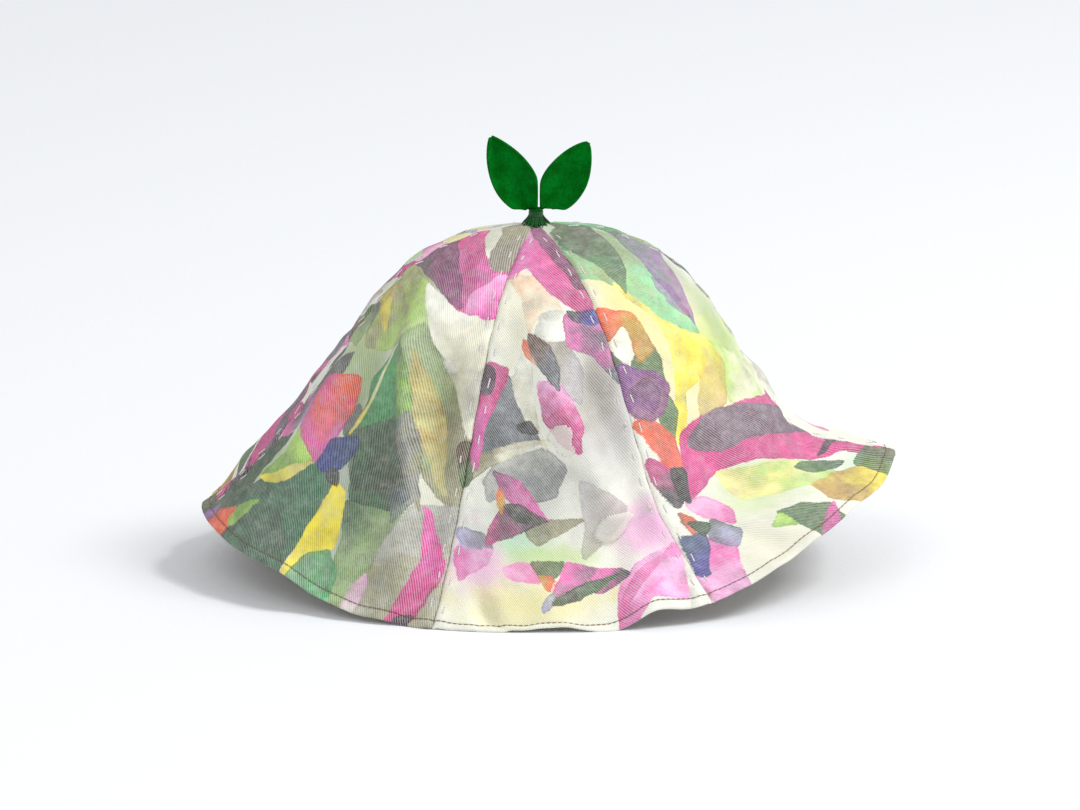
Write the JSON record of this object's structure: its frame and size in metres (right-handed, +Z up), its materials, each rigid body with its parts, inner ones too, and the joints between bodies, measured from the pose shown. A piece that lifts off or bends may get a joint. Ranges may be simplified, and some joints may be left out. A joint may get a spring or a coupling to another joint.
{
  "type": "sun hat",
  "caption": "Child's bell-shaped sun hat sewn from printed twill gores, with a flared brim, running stitches along the seams and felt leaves tied on top.",
  "frame": {"origin": "centre of the hat's box, on the surface that the brim stands on", "axes": "+Z up along the crown, -Y the face side with the flattest front gore, +X towards the turned-up right side of the brim"},
  "size_m": [0.2926, 0.204, 0.1867],
  "materials": {
    "print_cloth": "cotton twill with a watercolour print",
    "seam_tape": "pressed cotton twill, wrong side",
    "hand_thread": "white cotton sewing thread",
    "hem_thread": "beige-brown sewing thread",
    "felt": "matted green felt",
    "green_thread": "green cotton thread"
  },
  "bodies": {
    "hat": {"gore_front": "print_cloth", "gore_front_right": "print_cloth", "gore_back_right": "print_cloth", "gore_back": "print_cloth", "gore_back_left": "print_cloth", "gore_front_left": "print_cloth", "seam_tape_front_left": "seam_tape", "seam_tape_front_right": "seam_tape", "seam_tape_right": "seam_tape", "seam_tape_back_right": "seam_tape", "seam_tape_back_left": "seam_tape", "seam_tape_left": "seam_tape", "seam_stitches_front_left": "hand_thread", "seam_stitches_front_right": "hand_thread", "seam_stitches_right": "hand_thread", "seam_stitches_back_right": "hand_thread", "seam_stitches_back_left": "hand_thread", "seam_stitches_left": "hand_thread", "hem_facing": "print_cloth", "hem_topstitch": "hem_thread", "leaf_stem": "felt", "leaf_binding": "green_thread", "apex_knot": "green_thread", "anchor_stitches": "green_thread"},
    "leaf_left": {"leaf_left": "felt"},
    "leaf_right": {"leaf_right": "felt"}
  },
  "joints": [
    {"name": "leaf_left_bend", "type": "hinge", "parent": "hat", "child": "leaf_left", "pos_m": [-0.00942, 0, 0.1554], "axis": [0, -1, 0], "range_deg": [0, 45], "stiffness_Nm_per_rad": 0.002},
    {"name": "leaf_right_bend", "type": "hinge", "parent": "hat", "child": "leaf_right", "pos_m": [0.00158, 0, 0.1554], "axis": [0, 1, 0], "range_deg": [0, 45], "stiffness_Nm_per_rad": 0.002}
  ]
}
